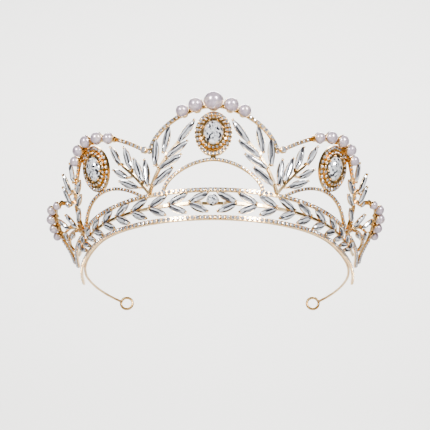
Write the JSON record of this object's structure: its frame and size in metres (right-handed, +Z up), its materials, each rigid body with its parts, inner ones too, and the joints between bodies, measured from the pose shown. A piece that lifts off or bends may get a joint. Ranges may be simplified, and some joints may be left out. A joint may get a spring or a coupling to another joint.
{
  "type": "bridal tiara",
  "caption": "Curved bridal tiara with vine band, pearl-topped arches, oval medallions, crystal leaf sprays and wire arms ending in loops.",
  "frame": {"origin": "centre of the whole tiara's outline seen from above, on the plane that the lower rail rests on", "axes": "+Z up from the resting rail, -Y the front of the tiara (centre medallion), +Y the open back with the two loops, +X the wearer's left"},
  "size_m": [0.1678, 0.1662, 0.0645],
  "materials": {
    "gold_plate": "bright warm light-gold plating over a cast base metal",
    "gold_wire": "bright drawn wire with light-gold plating",
    "pearl": "lustrous lilac-white pearl coating",
    "rhinestone": "foil-backed clear round stones with small facets",
    "leaf_crystal": "foil-backed clear navette stones with long facets",
    "oval_crystal": "foil-backed clear faceted stones"
  },
  "bodies": {
    "frame": {"band_wire": "gold_wire", "lower_rail": "gold_plate", "lower_rail_stones": "rhinestone", "upper_rail": "gold_plate", "upper_rail_stones": "rhinestone", "left_vine": "gold_plate", "right_vine": "gold_plate", "left_vine_leaves": "leaf_crystal", "right_vine_leaves": "leaf_crystal", "solitaire_setting": "gold_plate", "solitaire": "oval_crystal", "centre_arch": "gold_plate", "centre_arch_stones": "rhinestone", "centre_arch_pearls": "pearl", "left_side_arch": "gold_plate", "right_side_arch": "gold_plate", "left_side_arch_stones": "rhinestone", "right_side_arch_stones": "rhinestone", "left_side_arch_pearls": "pearl", "right_side_arch_pearls": "pearl", "left_outer_arch": "gold_plate", "right_outer_arch": "gold_plate", "left_outer_arch_stones": "rhinestone", "right_outer_arch_stones": "rhinestone", "left_outer_arch_pearls": "pearl", "right_outer_arch_pearls": "pearl", "centre_inner_arch": "gold_plate", "centre_inner_stones": "rhinestone", "left_inner_arch": "gold_plate", "right_inner_arch": "gold_plate", "left_inner_stones": "rhinestone", "right_inner_stones": "rhinestone", "left_low_arch": "gold_plate", "right_low_arch": "gold_plate", "left_low_stones": "rhinestone", "right_low_stones": "rhinestone", "centre_medallion": "gold_plate", "centre_halo_stones": "rhinestone", "centre_oval_stone": "oval_crystal", "left_medallion": "gold_plate", "left_halo_stones": "rhinestone", "left_oval_stone": "oval_crystal", "right_medallion": "gold_plate", "right_halo_stones": "rhinestone", "right_oval_stone": "oval_crystal", "left_spray": "gold_plate", "right_spray": "gold_plate", "left_spray_leaves": "leaf_crystal", "right_spray_leaves": "leaf_crystal", "left_rear_spray": "gold_plate", "right_rear_spray": "gold_plate", "left_rear_leaves": "leaf_crystal", "right_rear_leaves": "leaf_crystal"},
    "left_arm": {"left_wire_arm": "gold_wire", "left_end_loop": "gold_wire"},
    "right_arm": {"right_wire_arm": "gold_wire", "right_end_loop": "gold_wire"}
  },
  "joints": [
    {"name": "right_arm_flex", "type": "hinge", "parent": "frame", "child": "right_arm", "pos_m": [0.06768, 0.0159, 0.0006], "axis": [0, 0, 1], "range_deg": [-5, 10], "stiffness_Nm_per_rad": 0.05},
    {"name": "left_arm_flex", "type": "hinge", "parent": "frame", "child": "left_arm", "pos_m": [-0.06768, 0.0159, 0.0006], "axis": [0, 0, 1], "range_deg": [-10, 5], "stiffness_Nm_per_rad": 0.05}
  ]
}
